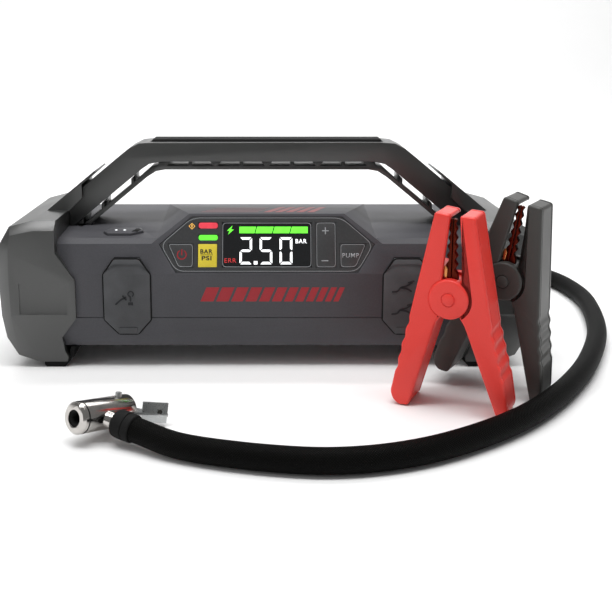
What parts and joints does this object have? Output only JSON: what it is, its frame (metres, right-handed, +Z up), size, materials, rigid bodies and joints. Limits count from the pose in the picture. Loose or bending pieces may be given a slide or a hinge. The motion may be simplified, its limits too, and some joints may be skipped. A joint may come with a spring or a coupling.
{
  "type": "jump starter pack",
  "caption": "Portable jump starter and tyre inflator pack with a carry handle, a lit control panel, battery clamps and an air hose with a lock-on chuck.",
  "frame": {"origin": "on the floor, at the middle of the box round the pack, the clamps and the chuck", "axes": "+X to the pack's right seen from its control panel, +Y to the rear, +Z up; the panel faces -Y"},
  "size_m": [0.3915, 0.3849, 0.1305],
  "materials": {
    "housing_plastic": "fine moulded grain",
    "bumper_plastic": "fine moulded grain",
    "black_rubber": "matt",
    "cover_rubber": "satin",
    "panel_plastic": "smooth",
    "display_window": "smooth, lit segments behind",
    "yellow_key": "smooth",
    "red_light": "smooth, lit",
    "green_light": "smooth, lit",
    "lamp_lens": "smooth, frosted",
    "cell_wrap": "shrink film",
    "circuit_board": "solder mask",
    "zinc_steel": "zinc plated",
    "brass": "turned",
    "nylon": "moulded",
    "aluminium": "die cast",
    "red_plastic": "satin moulded",
    "black_plastic": "satin moulded",
    "copper": "copper plated, stamped",
    "chrome": "polished",
    "hose_rubber": "braided rubber"
  },
  "bodies": {
    "pack": {"air_line": "nylon", "air_outlet": "brass", "alarm_light": "red_light", "battery_cell_1": "cell_wrap", "battery_cell_2": "cell_wrap", "battery_cell_3": "cell_wrap", "control_panel": "panel_plastic", "cylinder_head": "aluminium", "display_module": "panel_plastic", "display_window": "display_window", "handle_frame": "bumper_plastic", "handle_grip_strip": "black_rubber", "handle_lattice_shell": "bumper_plastic", "housing_screw_1": "zinc_steel", "housing_screw_2": "zinc_steel", "housing_screw_3": "zinc_steel", "housing_screw_4": "zinc_steel", "jump_socket": "panel_plastic", "left_end_cap": "bumper_plastic", "left_front_foot": "black_rubber", "left_rear_foot": "black_rubber", "lower_housing": "housing_plastic", "main_board": "circuit_board", "pump_cylinder": "aluminium", "pump_motor": "zinc_steel", "ready_light": "green_light", "right_end_cap": "bumper_plastic", "right_front_foot": "black_rubber", "right_rear_foot": "black_rubber", "upper_housing": "housing_plastic", "work_lamp_lens": "lamp_lens"},
    "power_key": {"power_key": "panel_plastic"},
    "unit_key": {"unit_key": "yellow_key"},
    "pump_key": {"pump_key": "panel_plastic"},
    "rocker": {"plus_minus_rocker": "panel_plastic"},
    "lamp_button": {"lamp_button": "panel_plastic"},
    "left_cover": {"left_port_cover": "cover_rubber"},
    "right_cover": {"right_port_cover": "cover_rubber"},
    "pinion": {"motor_pinion": "brass"},
    "gear": {"drive_gear": "nylon"},
    "piston": {"pump_piston": "aluminium"},
    "red_clamp": {"red_clamp_fixed_arm": "red_plastic", "red_clamp_pin": "red_plastic", "red_clamp_spring": "zinc_steel", "red_clamp_fixed_jaw": "copper"},
    "red_clamp_grip": {"red_clamp_moving_arm": "red_plastic", "red_clamp_moving_jaw": "copper"},
    "black_clamp": {"black_clamp_fixed_arm": "black_plastic", "black_clamp_pin": "black_plastic", "black_clamp_spring": "zinc_steel", "black_clamp_fixed_jaw": "copper"},
    "black_clamp_grip": {"black_clamp_moving_arm": "black_plastic", "black_clamp_moving_jaw": "copper"},
    "hose_set": {"air_hose": "hose_rubber", "hose_sleeve": "black_rubber", "hose_end_sleeve": "black_rubber", "hose_connector": "brass", "chuck_barrel": "chrome", "chuck_pin": "zinc_steel"},
    "chuck_lever": {"chuck_lever": "zinc_steel"}
  },
  "joints": [
    {"name": "power_key_press", "type": "slide", "parent": "pack", "child": "power_key", "axis": [0, 0.9493, -0.3145], "range_m": [0, 0.0005], "stiffness_N_per_m": 600},
    {"name": "unit_key_press", "type": "slide", "parent": "pack", "child": "unit_key", "axis": [0, 0.9493, -0.3145], "range_m": [0, 0.0005], "stiffness_N_per_m": 600},
    {"name": "pump_key_press", "type": "slide", "parent": "pack", "child": "pump_key", "axis": [0, 0.9493, -0.3145], "range_m": [0, 0.0005], "stiffness_N_per_m": 600},
    {"name": "rocker_tilt", "type": "hinge", "parent": "pack", "child": "rocker", "pos_m": [0.0342, 0.00551, 0.07334], "axis": [1, 0, 0], "range_deg": [-2, 2], "stiffness_Nm_per_rad": 0.05},
    {"name": "lamp_button_press", "type": "slide", "parent": "pack", "child": "lamp_button", "axis": [0, 0, -1], "range_m": [0, 0.0008], "stiffness_N_per_m": 600},
    {"name": "left_cover_hinge", "type": "hinge", "parent": "pack", "child": "left_cover", "pos_m": [-0.0808, 0.00265, 0.0206], "axis": [1, 0, 0], "range_deg": [0, 100], "stiffness_Nm_per_rad": 0.004, "springref_deg": -20.05},
    {"name": "right_cover_hinge", "type": "hinge", "parent": "pack", "child": "right_cover", "pos_m": [0.0808, 0.00265, 0.0206], "axis": [1, 0, 0], "range_deg": [0, 50], "stiffness_Nm_per_rad": 0.004, "springref_deg": -20.05},
    {"name": "motor_spin", "type": "hinge", "parent": "pack", "child": "pinion", "pos_m": [-0.06, 0.0553, 0.036], "axis": [1, 0, 0], "continuous": true},
    {"name": "gear_spin", "type": "hinge", "parent": "pack", "child": "gear", "pos_m": [-0.063, 0.0307, 0.036], "axis": [1, 0, 0], "continuous": true},
    {"name": "piston_stroke", "type": "slide", "parent": "pack", "child": "piston", "axis": [0, 1, 0], "range_m": [-0.014, 0]},
    {"name": "red_clamp_lift", "type": "slide", "parent": "pack", "child": "red_clamp", "axis": [0, 0, 1], "range_m": [0, 0.12]},
    {"name": "red_clamp_open", "type": "hinge", "parent": "red_clamp", "child": "red_clamp_grip", "pos_m": [0.0967, -0.0538, 0.0606], "axis": [0.4384, 0.8988, 0], "range_deg": [0, 24], "stiffness_Nm_per_rad": 1, "springref_deg": -28.65},
    {"name": "black_clamp_lift", "type": "slide", "parent": "pack", "child": "black_clamp", "axis": [0, 0, 1], "range_m": [0, 0.12]},
    {"name": "black_clamp_open", "type": "hinge", "parent": "black_clamp", "child": "black_clamp_grip", "pos_m": [0.1305, -0.0328, 0.0644], "axis": [0.5299, 0.848, 0], "range_deg": [0, 24], "stiffness_Nm_per_rad": 1, "springref_deg": -28.65},
    {"name": "hose_lift", "type": "slide", "parent": "pack", "child": "hose_set", "axis": [0, 0, 1], "range_m": [0, 0.12]},
    {"name": "chuck_lever_swing", "type": "hinge", "parent": "hose_set", "child": "chuck_lever", "pos_m": [-0.07431, -0.08324, 0.00902], "axis": [0.1196, 0.1487, 0.9816], "range_deg": [-30, 45]}
  ],
  "couplings": [
    {"joint": "gear_spin", "follows": "motor_spin", "ratio": -0.33333}
  ]
}
